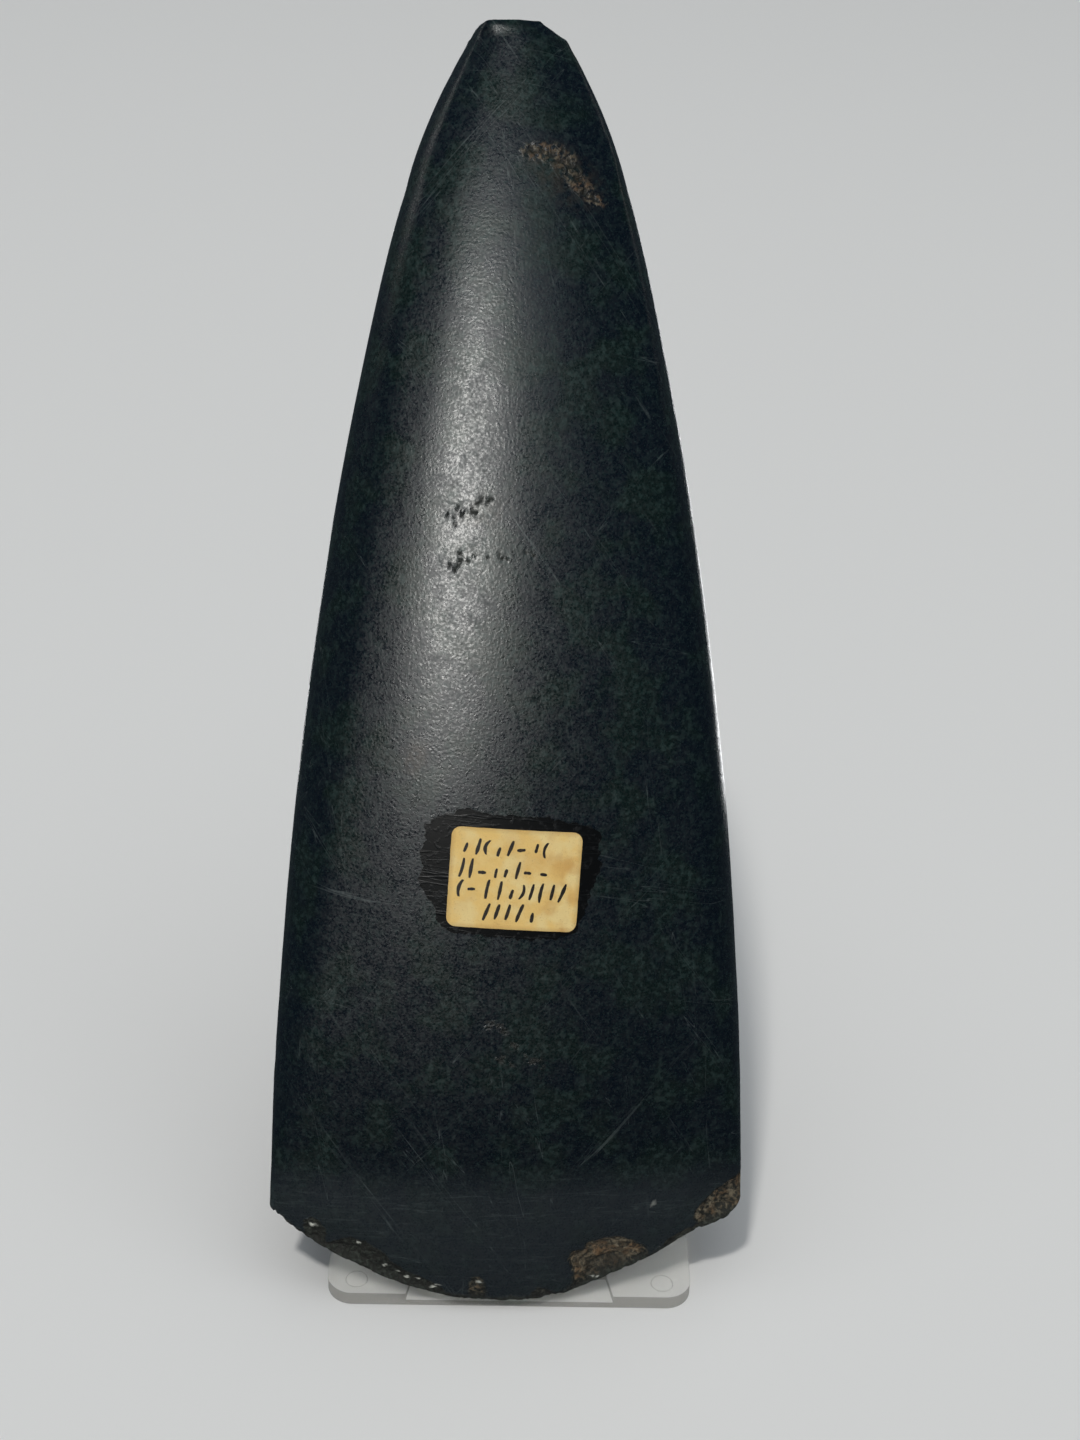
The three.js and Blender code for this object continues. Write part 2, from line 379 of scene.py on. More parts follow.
# Flake scars: outline on the front face, how deep, and how strongly they are crusted
flakes = [
    {
        "outline": [
            (11.6, -1.0), (12.6, 4.0), (13.0, 6.3), (11.8, 9.5), (12.7, 11.1), (14.7, 11.3), (15.4, 12.9),
            (17.9, 13.4), (20.7, 14.0), (22.9, 13.9), (25.1, 12.6), (27.6, 10.4), (29.5, 6.0), (20.0, 0.0),
        ],
        "depth": 0.95,
        "crust": 0.95,
    },
    {
        "outline": [
            (47.5, 27.5), (44.6, 25.9), (42.8, 24.5), (40.5, 22.7), (38.3, 20.4), (36.5, 18.4),
            (36.3, 17.0), (37.1, 15.6), (35.4, 14.6), (32.4, 13.0), (30.4, 11.4), (32.0, 7.0),
            (42.0, 9.0), (48.5, 16.0),
        ],
        "depth": 0.9,
        "crust": 0.75,
    },
    {
        "outline": [
            (-39.0, 14.4), (-38.9, 16.9), (-37.6, 17.9), (-36.0, 17.4), (-35.1, 15.6), (-34.6, 13.4),
            (-35.0, 9.5), (-39.0, 11.0),
        ],
        "depth": 0.6,
        "crust": 0.12,
    },
    {
        "outline": [
            (-35.2, 12.2), (-33.1, 12.9), (-30.3, 13.7), (-27.6, 13.3), (-24.7, 11.8), (-22.8, 10.0),
            (-21.2, 8.2), (-19.6, 6.9), (-17.0, 5.6), (-14.4, 4.2), (-12.2, 3.0), (-11.4, -1.0),
            (-24.0, 1.0), (-35.0, 8.0),
        ],
        "depth": 0.75,
        "crust": 0.05,
    },
    {
        "outline": [
            (-7.6, -1.0), (-7.4, 3.8), (-6.5, 5.8), (-5.2, 6.4), (-4.2, 5.2), (-4.0, 2.6), (-3.6, -1.0),
        ],
        "depth": 0.55,
        "crust": 0.6,
    },
    {
        "outline": [(4.0, -1.0), (4.6, 2.2), (6.4, 3.2), (8.2, 2.6), (9.4, 1.6), (10.0, -1.0)],
        "depth": 0.4,
        "crust": 0.3,
    },
]

# Deep floors of the scars, darkened there with painted shade
hollows = [
    {
        "outline": [
            (15.0, 8.4), (18.7, 9.1), (23.4, 9.8), (24.0, 7.6), (22.1, 6.0), (17.7, 4.9), (15.4, 4.6),
        ],
        "depth": 0.5,
    },
    {
        "outline": [(-37.6, 13.6), (-36.0, 14.2), (-34.9, 12.8), (-35.6, 11.0), (-37.8, 12.0)],
        "depth": 0.25,
    },
]

# Ledge inside the long left scar, where one flake stops on another
ledge = [
    (-35.2, 11.9), (-32.8, 12.0), (-30.9, 12.1), (-28.2, 11.5), (-24.4, 10.6), (-20.5, 7.6), (-20, -2),
    (-35, 5),
]

crystals = [
    (-37.3, 16.1, 0.7), (-14.2, 3.1, 0.6), (-13.2, 3.8, 0.35), (-16.9, 4.5, 0.35), (-20.6, 6.1, 0.4),
    (-19.3, 5.0, 0.3), (-23.4, 7.6, 0.3), (-28.4, 12.4, 0.3), (-5.3, 4.4, 0.55), (17.3, 4.6, 0.4),
    (28.2, 21.4, 0.3), (-24.9, 23.2, 0.3), (-25.8, 22.2, 0.25),
]

# Pits, crusts and stains on the front face
pitRows = [
    {"from": (-12.9, 152.3), "to": (-4.1, 156.0), "count": 17, "size": 0.5, "depth": 0.2},
    {"from": (-11.1, 142.6), "to": (-9.6, 146.4), "count": 9, "size": 0.5, "depth": 0.2},
    {"from": (-8.0, 145.6), "to": (3.1, 146.8), "count": 10, "size": 0.42, "depth": 0.18},
    {"from": (-6.4, 60.8), "to": (-0.6, 58.0), "count": 8, "size": 0.8, "depth": 0.18},
    {"from": (0.2, 56.0), "to": (4.8, 51.2), "count": 8, "size": 0.8, "depth": 0.18},
    {"from": (-3.0, 53.0), "to": (8.6, 49.0), "count": 7, "size": 0.6, "depth": 0.15},
    {"from": (0.8, 217.2), "to": (7.3, 217.0), "count": 12, "size": 0.8, "depth": 0.25},
    {"from": (7.1, 215.6), "to": (11.4, 211.4), "count": 12, "size": 0.8, "depth": 0.25},
    {"from": (10.8, 210.8), "to": (14.2, 209.0), "count": 9, "size": 0.75, "depth": 0.25},
]

crusts = [
    {"at": (4.2, 217.0), "reach": (5.6, 2.3), "turn": 0, "share": 0.66},
    {"at": (8.0, 215.2), "reach": (3.2, 3.2), "turn": 10, "share": 0.5},
    {"at": (10.6, 211.8), "reach": (4.8, 2.4), "turn": -42, "share": 0.6},
    {"at": (13.4, 209.0), "reach": (3.0, 1.6), "turn": -20, "share": 0.55},
]

stains = [
    {"at": (-18.0, 109.4), "reach": (2.8, 4.2), "turn": -20, "share": 0.6},
    {"at": (-6.0, 153.6), "reach": (6.5, 3.2), "turn": 20, "share": 0.3},
    {"at": (8.0, 213.0), "reach": (9.5, 5.5), "turn": -35, "share": 0.4},
]

# Boxes on the front face where the mesh is made finer: left, right, low, high
fineBoxes = [(-16, 6, 139, 159), (-2, 17, 206, 220), (-9, 12, 45, 63)]

stoneMesh = {
    "creaseAbove": 232.0, # the butt keeps crisper corners
    "crease": 0.75,
    "cornerDegrees": 28,
    "cornerHold": 0.3, # how far the smoothed surface is pushed back out at a corner
    "longEdge": 4.6,
    "heights": (10, 232, 75), # where the width is measured: from, to and how many
    "places": (-44.5, 44.5, 120), # the same across, for the cutting edge
    "scarBand": 16, # how far above the edge the scars reach
    "coarse": 2.2, # sizes of the unevenness of broken stone
    "fine": 0.7,
    "leastThickness": 0.25, # so that a scar never goes through to the other face
    "wornReach": 3.5,
    "wornBand": 1.3,
    "nicks": 0.75,
    "waviness": 0.07,
    "waves": (26, 9), # millimetres from one to the next
    "softening": 26, # how many times the long side edges are smoothed
    "sharperRight": 0.75, # near the butt the right one keeps more of its line
    "buttShift": 1.3, # the flat end is a little left of the middle
    "buttSlant": (236.9, 239.9), # from its shoulders up to the flat end
    "hackedAbove": 236,
    "hack": 0.12,
}


def solidCopy(nodeName, matrix):
    # A solid's own facets, in millimetres
    bm = bmesh.new()
    bm.from_mesh(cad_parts[nodeName].data)
    bmesh.ops.transform(bm, matrix=matrix, verts=bm.verts)
    bmesh.ops.remove_doubles(bm, verts=bm.verts, dist=0.002)
    return bm


def longEdges(bm, longest):
    found = []
    for edge in bm.edges:
        a, b = (v.co for v in edge.verts)
        if edge.calc_length() > longest and abs(a.z - b.z) > 0.8 * edge.calc_length():
            found.append(edge)
    return found


def roundedStone():
    # The solid's own facets, joined into four-sided ones and made smooth between them
    bm = solidCopy("axe_head", toStone)
    bmesh.ops.join_triangles(
        bm,
        faces=bm.faces,
        angle_face_threshold=math.radians(35),
        angle_shape_threshold=math.radians(70),
    )
    split = longEdges(bm, stoneMesh["longEdge"])
    bmesh.ops.subdivide_edges(bm, edges=split, cuts=1, use_grid_fill=True)
    crease = bm.edges.layers.float.new("crease_edge")
    corner = np.zeros(len(bm.verts))
    cornerAngle = math.radians(stoneMesh["cornerDegrees"])
    bm.verts.index_update()
    for edge in bm.edges:
        if len(edge.link_faces) == 2 and edge.calc_face_angle() > cornerAngle:
            for vert in edge.verts:
                corner[vert.index] = 1
            if min(v.co.z for v in edge.verts) > stoneMesh["creaseAbove"]:
                edge[crease] = stoneMesh["crease"]
    wanted = pointsOf(bm)
    mesh = bpy.data.meshes.new("stoneCage")
    bm.to_mesh(mesh)
    bm.free()
    cage = newObject("stoneCage", mesh)
    smooth = cage.modifiers.new("smooth", "SUBSURF")
    smooth.levels = smooth.render_levels = 1
    held = np.where(corner > 0, stoneMesh["cornerHold"], 1.0)[:, None]
    points = wanted.copy()
    for _ in range(3): # the smoothed surface comes back out to the solid's own points
        depsgraph = bpy.context.evaluated_depsgraph_get()
        rounded = np.zeros(len(cage.evaluated_get(depsgraph).data.vertices) * 3)
        cage.evaluated_get(depsgraph).data.vertices.foreach_get("co", rounded)
        points += (wanted - rounded.reshape(-1, 3)[:len(wanted)]) * held
        mesh.vertices.foreach_set("co", points.ravel())
        mesh.update()
        bpy.context.view_layer.update()
    depsgraph = bpy.context.evaluated_depsgraph_get()
    bm = bmesh.new()
    bm.from_mesh(cage.evaluated_get(depsgraph).data)
    bpy.data.objects.remove(cage)
    return bm


def sideReach(points):
    # How far each side is from the middle, at heights up the stone
    heights = np.linspace(*stoneMesh["heights"])
    sides = []
    for sign in (-1, 1):
        sides.append([(sign * points[np.abs(points[:, 2] - height) < 2.6, 0]).max() for height in heights])
    return heights, np.array(sides)


def softenSides(bm):
    # Rubs down the edges between the broad faces and the sides, and keeps the outline
    points = pointsOf(bm)
    heights, wanted = sideReach(points)
    x, z = points[:, 0], points[:, 2]
    leftReach, rightReach = (np.interp(z, heights, side) for side in wanted)
    outward = np.abs(x) / np.where(x < 0, leftReach, rightReach)
    share = smoothStep(outward, 0.5, 0.7) * smoothStep(z, 22, 50) * (1 - smoothStep(z, 224, 238))
    share *= 1 - stoneMesh["sharperRight"] * smoothStep(z, 125, 185) * (x > 0)
    turns = np.round(share * stoneMesh["softening"])
    verts = list(bm.verts)
    for turn in range(stoneMesh["softening"]):
        chosen = [verts[i] for i in np.where(turns > turn)[0]]
        bmesh.ops.smooth_vert(
            bm, verts=chosen, factor=0.5, use_axis_x=True, use_axis_y=True, use_axis_z=False
        )
    points = pointsOf(bm)
    reached = sideReach(points)[1]
    x, z = points[:, 0], points[:, 2]
    left = np.interp(z, heights, wanted[0] / reached[0])
    right = np.interp(z, heights, wanted[1] / reached[1])
    points[:, 0] *= np.where(x < 0, left, right)
    setPoints(bm, points)


def refine(bm, wanted):
    # Splits every edge of the faces that are wanted, and relaxes the new points
    faces = [face for face in bm.faces if wanted(face.calc_center_median())]
    edges = list({edge for face in faces for edge in face.edges})
    before = set(bm.verts)
    bmesh.ops.subdivide_edges(bm, edges=edges, cuts=1, use_grid_fill=True)
    fresh = [vert for vert in bm.verts if vert not in before]
    bmesh.ops.smooth_vert(bm, verts=fresh, factor=0.5, use_axis_x=True, use_axis_y=True, use_axis_z=True)
    crowded = [face for face in bm.faces if len(face.verts) > 4]
    bmesh.ops.triangulate(bm, faces=crowded)


def edgeHeights(points):
    # How high the cutting edge is at each place across
    places = np.linspace(*stoneMesh["places"])
    lows = [points[np.abs(points[:, 0] - place) < 0.9, 2].min() for place in places]
    return places, np.array(lows)


def refineStone(bm, places, lows):
    # Smaller faces where there is fine relief
    def nearEdge(centre, reach):
        return centre.z < np.interp(centre.x, places, lows) + reach

    def inBoxes(centre, margin):
        return centre.y < 0 and any(
            left - margin < centre.x < right + margin and low - margin < centre.z < high + margin
            for left, right, low, high in fineBoxes
        )

    refine(bm, lambda c: inBoxes(c, 0.8) or (c.y < 0.4 and nearEdge(c, 12.5)) or nearEdge(c, 2.5))
    refine(bm, lambda c: inBoxes(c, 0) or (c.y < 0.2 and nearEdge(c, 11.5)))


def chipFront(points, above, front, masks):
    # Flake scars along the front of the edge, with their hollows, ledge and crystals, and painted shade in
    # the hollows and along the ledge
    near = np.where((above < stoneMesh["scarBand"]) & front)[0]
    x, z = points[near, 0], points[near, 2]
    coarse = noiseAt(points[near], stoneMesh["coarse"], 1)
    fine = noiseAt(points[near], stoneMesh["fine"], 2)
    push, fracture, crusted, paintedShade, crystal = np.zeros((5, len(near)))
    for flake in flakes:
        inside = insideDistance(x, z, flake["outline"]) + 0.55 * coarse + 0.25 * fine
        deep = 0.55 * smoothStep(inside, 0, 0.55) + 0.45 * smoothStep(inside, 0.3, 4.5)
        rough = (0.25 * coarse + 0.2 * fine) * smoothStep(inside, 0.1, 0.8)
        push = np.maximum(push, flake["depth"] * deep + rough)
        fracture = np.maximum(fracture, smoothStep(inside, -0.1, 0.25))
        crust = smoothStep(inside, -0.1, 0.5) * flake["crust"] * smoothStep(above[near], 0.0, 3.0)
        crusted = np.maximum(crusted, crust)
    for hollow in hollows:
        inside = insideDistance(x, z, hollow["outline"]) + 0.7 * coarse + 0.3 * fine
        push = push + hollow["depth"] * smoothStep(inside, -0.4, 0.9)
        # painted shade: the hollow floors are darkened
        paintedShade = np.maximum(paintedShade, 0.8 * smoothStep(inside, -0.4, 0.7))
    shelf = insideDistance(x, z, ledge) + 0.3 * coarse
    push = push + 0.3 * smoothStep(shelf, 0, 0.4)
    # painted shade: a dark line along the step of the ledge
    paintedShade = np.maximum(paintedShade, smoothStep(shelf, -0.35, 0) * (1 - smoothStep(shelf, 0.1, 0.5)))
    slack = np.clip(-points[near, 1] - stoneMesh["leastThickness"], 0, None)
    points[near, 1] += np.minimum(push, slack)
    for cx, cz, reach in crystals:
        away = np.hypot(x - cx, (z - cz) * 1.5) + 0.9 * fine
        crystal = np.maximum(crystal, 1 - smoothStep(away, reach * 0.3, reach))
    for name, mask in (("fracture", fracture), ("crust", crusted), ("paintedShade", paintedShade), ("crystal", crystal)):
        masks[name][near] = mask


def wearEdge(points, above, masks):
    # Nicked, and rubbed dull all along
    band = np.where(above < stoneMesh["wornReach"])[0]
    nick = noiseAt(points[band], 1.6, 3) + 0.6 * noiseAt(points[band], 0.6, 4)
    share = 1 - smoothStep(above[band], 0.2, 2.6)
    points[band, 2] += stoneMesh["nicks"] * np.clip(nick + 0.1, 0, None) * share
    dull = 1 - smoothStep(above[band] + 0.9 * nick, 0.3, stoneMesh["wornBand"])
    masks["fracture"][band] = np.maximum(masks["fracture"][band], dull)


def markFace(points, x, z, front, masks):
    # Pits with painted shade in them, the crusted patch and stains
    rng = random.Random(5)
    for row in pitRows:
        for _ in range(row["count"]):
            share = rng.random()
            at = [a + (b - a) * share + rng.gauss(0, 0.55) for a, b in zip(row["from"], row["to"])]
            reach = row["size"] * rng.uniform(0.5, 1.15)
            oval = (reach, reach * rng.uniform(0.45, 0.9))
            spot = {"at": at, "reach": oval, "turn": rng.uniform(-60, 60)}
            depth = spotShare(x, z, spot) * front
            points[:, 1] += depth * row["depth"] * rng.uniform(0.6, 1.2)
            # painted shade: each pit is darkened by its depth
            masks["paintedShade"] = np.maximum(masks["paintedShade"], smoothStep(depth, 0.05, 0.7) * 0.9)
    for crust in crusts:
        cover = smoothStep(spotShare(x, z, crust) * front, 0, 0.9)
        masks["crust"] = np.maximum(masks["crust"], cover * crust["share"])
    for stain in stains:
        masks["stain"] = np.maximum(masks["stain"], spotShare(x, z, stain) * front * stain["share"])


def finishFaces(points, normals, z):
    # Slight waviness left by grinding, and the butt's end, shifted and left rough
    long, short = stoneMesh["waves"]
    wave = noiseAt(points, long, 6) + 0.45 * noiseAt(points, short, 7)
    points -= normals * (stoneMesh["waviness"] * (wave + 0.9) * smoothStep(z, 6, 30))[:, None]
    points[:, 0] -= stoneMesh["buttShift"] * smoothStep(z, *stoneMesh["buttSlant"])
    top = np.where(z > stoneMesh["hackedAbove"])[0]
    hack = noiseAt(points[top], 2.4, 8) + 0.5 * noiseAt(points[top], 0.9, 9)
    share = smoothStep(z[top], stoneMesh["hackedAbove"], stoneMesh["hackedAbove"] + 2.5)
    points[top] -= normals[top] * (stoneMesh["hack"] * np.clip(hack + 0.5, 0, None) * share)[:, None]


def makeStone(material):
    bm = roundedStone()
    softenSides(bm)
    places, lows = edgeHeights(pointsOf(bm))
    refineStone(bm, places, lows)
    bmesh.ops.recalc_face_normals(bm, faces=bm.faces)
    points = pointsOf(bm)
    normals = np.array([v.normal for v in bm.verts])
    x, z = points[:, 0].copy(), points[:, 2].copy()
    front = points[:, 1] < 0.15
    above = z - np.interp(x, places, lows)
    masks = {name: np.zeros(len(points)) for name in ("fracture", "crust", "crystal", "paintedShade", "stain")}
    chipFront(points, above, front, masks)
    wearEdge(points, above, masks)
    markFace(points, x, z, front, masks)
    finishFaces(points, normals, z)
    setPoints(bm, points)
    bm.normal_update()
    piece = newPiece("polished_axe_head", bm, material)
    for name, mask in masks.items():
        layer = piece.data.attributes.new(name, "FLOAT", "POINT")
        layer.data.foreach_set("value", np.clip(mask, 0, 1).astype(np.float32))
    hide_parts("axe_head")
    return piece


def attribute(tree, name):
    node = addNode(tree, "ShaderNodeAttribute", attribute_name=name, attribute_type="GEOMETRY")
    return node.outputs["Fac"]


def stoneColour(tree, where, patterns, scratched):
    # The polished face: blue-black, clouded with green, flecked and scratched
    look = stoneLook
    clouds = patterns["clouds"]
    colour = mixColour(tree, clouds, look["blueBlack"], look["darkGreen"])
    flecks = times(tree, patterns["fibres"], plus(tree, times(tree, clouds, 0.35), 0.22))
    colour = mixColour(tree, flecks, colour, look["greyFleck"])
    height = addNode(tree, "ShaderNodeSeparateXYZ", {"Vector": where}).outputs["Z"]
    ground = between(tree, height, *look["groundBand"])
    layers = (
        ("specks", patterns["specks"], "greyFleck"),
        ("ground", ground, "groundEdge"),
        ("scratches", scratched, "scratch"),
        ("rubbed", times(tree, hairlines(tree, where, *look["grinding"]), ground), "scratch"),
    )
    for name, mask, shade in layers:
        colour = mixColour(tree, times(tree, mask, look["shares"][name]), colour, look[shade])
    return colour


def crustMask(tree, pattern):
    crusted = attribute(tree, "crust")
    cover = plus(tree, pattern, maths(tree, "SUBTRACT", crusted, 0.72))
    return times(tree, maths(tree, "MINIMUM", maths(tree, "MAXIMUM", cover, 0.0), 1.0), crusted)


def stoneMaterial():
    material, tree, shader = newMaterial("polishedStone")
    look = stoneLook
    where = stoneCoordinates(tree)
    patterns = {name: mottled(tree, where, *values) for name, values in look["patterns"].items()}
    scratched = hairlines(tree, where, *look["scratches"][0])
    for scratches in look["scratches"][1:]:
        scratched = maths(tree, "MAXIMUM", scratched, hairlines(tree, where, *scratches))

    broken = attribute(tree, "fracture")
    crustShare = crustMask(tree, patterns["crustCover"])
    # painted shade in the scar hollows, along the ledge and in the pits, which also makes them rougher
    paintedShade = times(tree, attribute(tree, "paintedShade"), look["shares"]["paintedShade"])
    orange = times(tree, patterns["crustOrange"], look["shares"]["orange"])
    crust = mixColour(tree, patterns["crustPale"], look["brownCrust"], look["paleCrust"])
    covers = (
        (times(tree, attribute(tree, "stain"), patterns["stainEdge"]), look["stain"]),
        (broken, mixColour(tree, patterns["rubble"], look["fractureDarkAndShade"], look["fracture"])),
        (crustShare, mixColour(tree, orange, crust, look["orange"])),
        (paintedShade, look["fractureDarkAndShade"]),
        (attribute(tree, "crystal"), look["crystal"]),
    )
    colour = stoneColour(tree, where, patterns, scratched)
    for mask, shade in covers:
        colour = mixColour(tree, mask, colour, shade)

    dull = maths(tree, "MAXIMUM", broken, maths(tree, "MAXIMUM", crustShare, paintedShade))
    least, most = (look["roughness"] + more for more in look["rougher"]["sparkle"])
    rough = ranged(tree, patterns["sparkle"], least, most)
    masks = {"fibres": patterns["fibres"], "haze": patterns["haze"], "scratches": scratched, "dull": dull}
    for name, mask in masks.items():
        rough = plus(tree, rough, times(tree, mask, look["rougher"][name]))

    relief = times(tree, patterns["grain"], look["raised"]["grain"])
    relief = maths(tree, "SUBTRACT", relief, times(tree, scratched, look["raised"]["scratches"]))
    rubble = times(tree, patterns["rubble"], dull)
    relief = plus(tree, relief, times(tree, rubble, look["raised"]["rubble"]))
    finishShader(tree, shader, look, colour, rough, relief)
    return material


# Black lacquer under the label
lacquerLook = {
    "outline": [
        (-16.4, 97.0), (-14.6, 98.4), (-10.4, 99.9), (-8.6, 100.4), (-5.0, 99.6), (0.0, 99.2),
        (4.6, 98.9), (9.6, 97.9), (14.6, 96.9), (16.0, 95.0), (15.4, 92.6), (16.0, 90.0),
        (14.9, 86.4), (13.9, 83.4), (13.1, 80.6), (11.4, 77.2), (8.4, 76.0), (3.0, 75.8),
        (-2.4, 76.3), (-7.4, 76.8), (-12.2, 77.6), (-14.0, 79.4), (-14.4, 82.0), (-16.6, 84.4),
        (-17.4, 87.0), (-16.4, 89.6), (-17.0, 92.0), (-16.0, 94.4),
    ],
    "centre": (-0.6, 88.0),
    "under": 0.08,
    "film": 0.09,
    "ragged": 0.75,
    "colour": (0.0030, 0.0035, 0.0042),
    "worn": (0.014, 0.016, 0.018),
    "roughness": 0.34,
    "wornRoughness": 0.5,
    "specular": 0.09,
    "brushed": (84, 900, 90, 0.05, 0.45), # hairlines
    "wear": (900, 6, 0.52, 0.72), # mottle
    "relief": 0.00003,
    "rings": 16,
    "steps": 220,
}

labelLook = {
    "width": 23.8,
    "height": 18.7,
    "corner": 1.7,
    "across": 0.1,
    "up": 87.2,
    "tiltDegrees": 3.2,
    "under": 0.12,
    "thickness": 0.2,
    "paper": (0.95, 0.64, 0.21),
    "pale": (0.97, 0.74, 0.32),
    "foxing": (0.66, 0.33, 0.075),
    "rim": (0.50, 0.29, 0.09),
    "roughness": 0.72,
    "fibreRoughness": 0.85,
    "specular": 0.3,
    "paleClouds": (260, 5, 0.38, 0.66), # this and the next three are mottles
    "foxSpots": (190, 6, 0.46, 0.7),
    "flecks": (3200, 3, 0.6, 0.72),
    "fibres": (4200, 6, 0.3, 0.7),
    "foxedSide": (0.003, 0.012), # metres right of the middle, where the brown spots get stronger
    "rimBand": (-0.0009, -0.0001), # metres inside the rim
    "relief": 0.00002,
    "rings": 14,
    "steps": 192,
    "waver": 0.05, # how uneven the cut edge is
}

inkLook = {
    # left, right and height of each row
    "rows": [(-9.7, 7.2, 5.8), (-10.2, 6.4, 1.7), (-10.1, 10.4, -2.1), (-5.2, 5.8, -6.2)],
    "kinds": ["bar", "bar", "bow", "low", "dash"],
    "lengths": {"bar": 1.0, "bow": 0.9, "low": 0.5, "dash": 0.42}, # shares of the full height
    "tall": 3.5,
    "wide": 0.74,
    "spacing": 2.05,
    "film": 0.015,
    "thickness": 0.03,
    "colour": (0.010, 0.006, 0.004),
    "faded": (0.09, 0.05, 0.02),
    "fading": (1600, 4, 0.5, 0.75), # mottle
    "roughness": (0.5, 0.7),
    "specular": 0.2,
    "seed": 11,
}


def stoneSurface(stone):
    # For laying things on the front face: the place and direction of the surface in the stone's frame
    points = [toStone @ v.co for v in stone.data.vertices]
    faces = [tuple(p.vertices) for p in stone.data.polygons]
    tree = BVHTree.FromPolygons(points, faces)
    reach = 1.2 # the slope is taken over this far, so that fine relief doesn't tip it

    def hitAt(x, z):
        return tree.ray_cast(Vector((x, -60, z)), Vector((0, 1, 0)))[0]

    def at(x, z):
        across = hitAt(x + reach, z) - hitAt(x - reach, z)
        up = hitAt(x, z + reach) - hitAt(x, z - reach)
        slope = across.cross(up).normalized()
        if slope.y > 0:
            slope.negate()
        return hitAt(x, z), slope

    return at


def drapedDisc(surface, outlineAt, rings, steps, under, over):
    # A round grid stretched to an outline, laid on the stone and given its thickness
    bm = bmesh.new()
    bmesh.ops.create_circle(bm, cap_ends=False, radius=1, segments=steps)
    loop = list(bm.edges)
    for ring in range(rings):
        grown = bmesh.ops.extrude_edge_only(bm, edges=loop)["geom"]
        fresh = [item for item in grown if isinstance(item, bmesh.types.BMVert)]
        loop = [item for item in grown if isinstance(item, bmesh.types.BMEdge)
                and all(v in fresh for v in item.verts)]
        for vert in fresh:
            vert.co = vert.co.normalized() * (1 - (ring + 1) / (rings + 1))
    bmesh.ops.contextual_create(bm, geom=loop)
    for vert in bm.verts:
        share = vert.co.length
        x, z = outlineAt(math.atan2(vert.co.y, vert.co.x), share)
        hit, out = surface(x, z)
        vert.co = hit + out * over # the thickness goes down from here
    bmesh.ops.recalc_face_normals(bm, faces=bm.faces)
    if sum((face.normal.y for face in bm.faces)) > 0:
        bmesh.ops.reverse_faces(bm, faces=bm.faces)
    bmesh.ops.solidify(bm, geom=list(bm.faces), thickness=over - under)
    return bm


def outlineReach(outline, centre, angle):
    # How far an outline is from its centre in one direction
    direction = Vector((math.cos(angle), math.sin(angle)))
    best = 0
    for (ax, az), (bx, bz) in zip(outline, outline[1:] + outline[:1]):
        a = Vector((ax - centre[0], az - centre[1]))
        b = Vector((bx - centre[0], bz - centre[1]))
        side = b - a
        cross = direction.x * side.y - direction.y * side.x
        if abs(cross) < 1e-9:
            continue
        t = (a.x * side.y - a.y * side.x) / cross
        s = (a.x * direction.y - a.y * direction.x) / cross
        if t > 0 and -1e-6 <= s <= 1 + 1e-6:
            best = max(best, t)
    return best


def makeLacquer(surface, material):
    look = lacquerLook
    centre = look["centre"]

    def outlineAt(angle, share):
        reach = outlineReach(look["outline"], centre, angle)
        edge = Vector((math.cos(angle), math.sin(angle), 0)) * reach
        reach += look["ragged"] * (noise.noise(edge * 0.9) + 0.6 * noise.noise(edge * 2.3))
        return centre[0] + math.cos(angle) * reach * share, centre[1] + math.sin(angle) * reach * share

    bm = drapedDisc(surface, outlineAt, look["rings"], look["steps"], -look["under"], look["film"])
    return newPiece("black_lacquer_patch", bm, material, 40)


def roundedCorner(look, angle):
    # Reach of a rectangle with rounded corners in one direction
    halfWide, halfTall, corner = look["width"] / 2, look["height"] / 2, look["corner"]
    cos, sin = abs(math.cos(angle)), abs(math.sin(angle))
    reach = min(halfWide / max(cos, 1e-9), halfTall / max(sin, 1e-9))
    cx, cz = halfWide - corner, halfTall - corner
    if reach * cos > cx and reach * sin > cz:
        b = cos * cx + sin * cz
        reach = b + math.sqrt(max(0, b * b - (cx * cx + cz * cz - corner * corner)))
    return reach


def onLabel(right, high):
    tilt = math.radians(labelLook["tiltDegrees"])
    x = labelLook["across"] + right * math.cos(tilt) + high * math.sin(tilt)
    z = labelLook["up"] - right * math.sin(tilt) + high * math.cos(tilt)
    return x, z


def makeLabel(surface, material):
    look = labelLook

    def outlineAt(angle, share):
        reach = roundedCorner(look, angle)
        reach += look["waver"] * noise.noise(Vector((math.cos(angle), math.sin(angle), 2)) * 9)
        return onLabel(math.cos(angle) * reach * share, math.sin(angle) * reach * share)

    over = look["under"] + look["thickness"]
    bm = drapedDisc(surface, outlineAt, look["rings"], look["steps"], look["under"], over)
    piece = newPiece("aged_paper_label", bm, material, 40)
    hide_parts("paper_label")
    return piece


